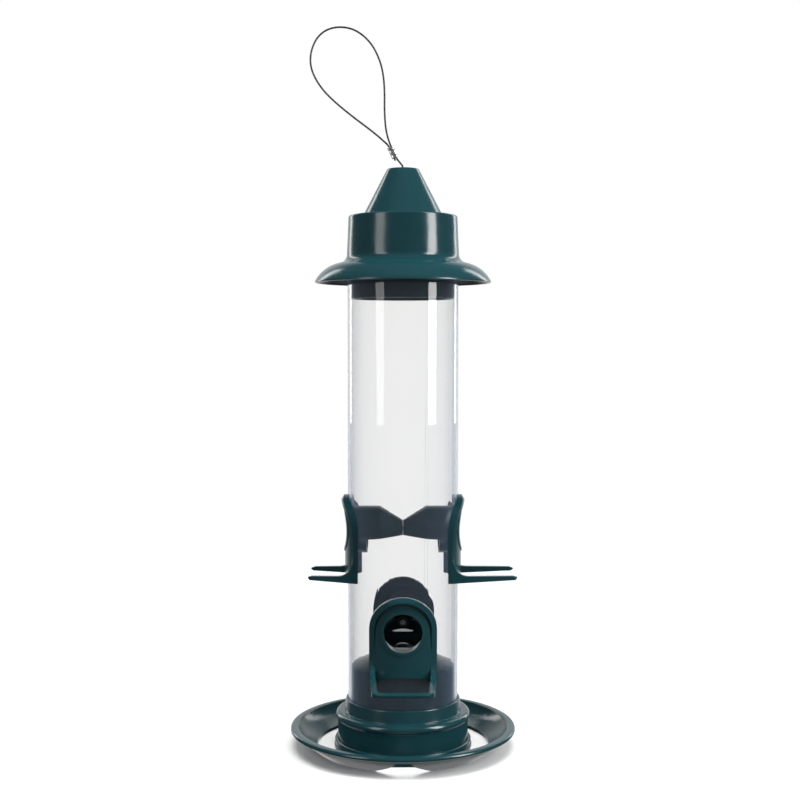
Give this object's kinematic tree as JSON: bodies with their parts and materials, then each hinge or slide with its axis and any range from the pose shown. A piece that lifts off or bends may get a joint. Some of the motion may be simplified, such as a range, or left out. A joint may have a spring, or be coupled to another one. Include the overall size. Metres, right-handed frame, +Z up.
{
  "type": "hanging tube bird feeder",
  "caption": "Hanging tube seed feeder with a clear tube, coned cap, four feeding ports with perches, a seed tray and a wire-rope hanging loop.",
  "frame": {"origin": "on the tube's axis, level with the flat underside of the seed tray", "axes": "+Z up along the tube towards the hanger; the front feeding port of the lower row faces -Y and the upper row's ports face +X and -X"},
  "size_m": [0.13, 0.1368, 0.4132],
  "materials": {
    "clear_tube": "clear glossy",
    "green_plastic": "glossy, moulded",
    "wire_rope": "stranded, dull",
    "ferrule_alloy": "satin, crimped",
    "zinc_steel": "zinc plated"
  },
  "bodies": {
    "feeder": {"tube": "clear_tube", "port_left": "green_plastic", "port_right": "green_plastic", "port_front": "green_plastic", "port_back": "green_plastic", "upper_port_screw": "zinc_steel", "lower_port_screw": "zinc_steel"},
    "cap": {"cap": "green_plastic", "cap_ring": "green_plastic", "stop_washer": "zinc_steel"},
    "hanger": {"hanger_cable": "wire_rope", "loop_ferrule": "ferrule_alloy", "stop_ferrule": "ferrule_alloy"},
    "base": {"base_collar": "green_plastic", "seed_deflector": "green_plastic", "base_screws": "zinc_steel"},
    "tray": {"tray": "green_plastic"}
  },
  "joints": [
    {"name": "cap_lift", "type": "slide", "parent": "feeder", "child": "cap", "axis": [0, 0, 1], "range_m": [0, 0.05]},
    {"name": "hanger_swivel", "type": "hinge", "parent": "cap", "child": "hanger", "pos_m": [0, 0, 0.3325], "axis": [0, 0, 1], "continuous": true},
    {"name": "base_twist", "type": "hinge", "parent": "feeder", "child": "base", "pos_m": [0, 0, 0.0213], "axis": [0, 0, 1], "range_deg": [0, 30]},
    {"name": "tray_release", "type": "slide", "parent": "base", "child": "tray", "axis": [0, 0, -1], "range_m": [0, 0.03]}
  ]
}
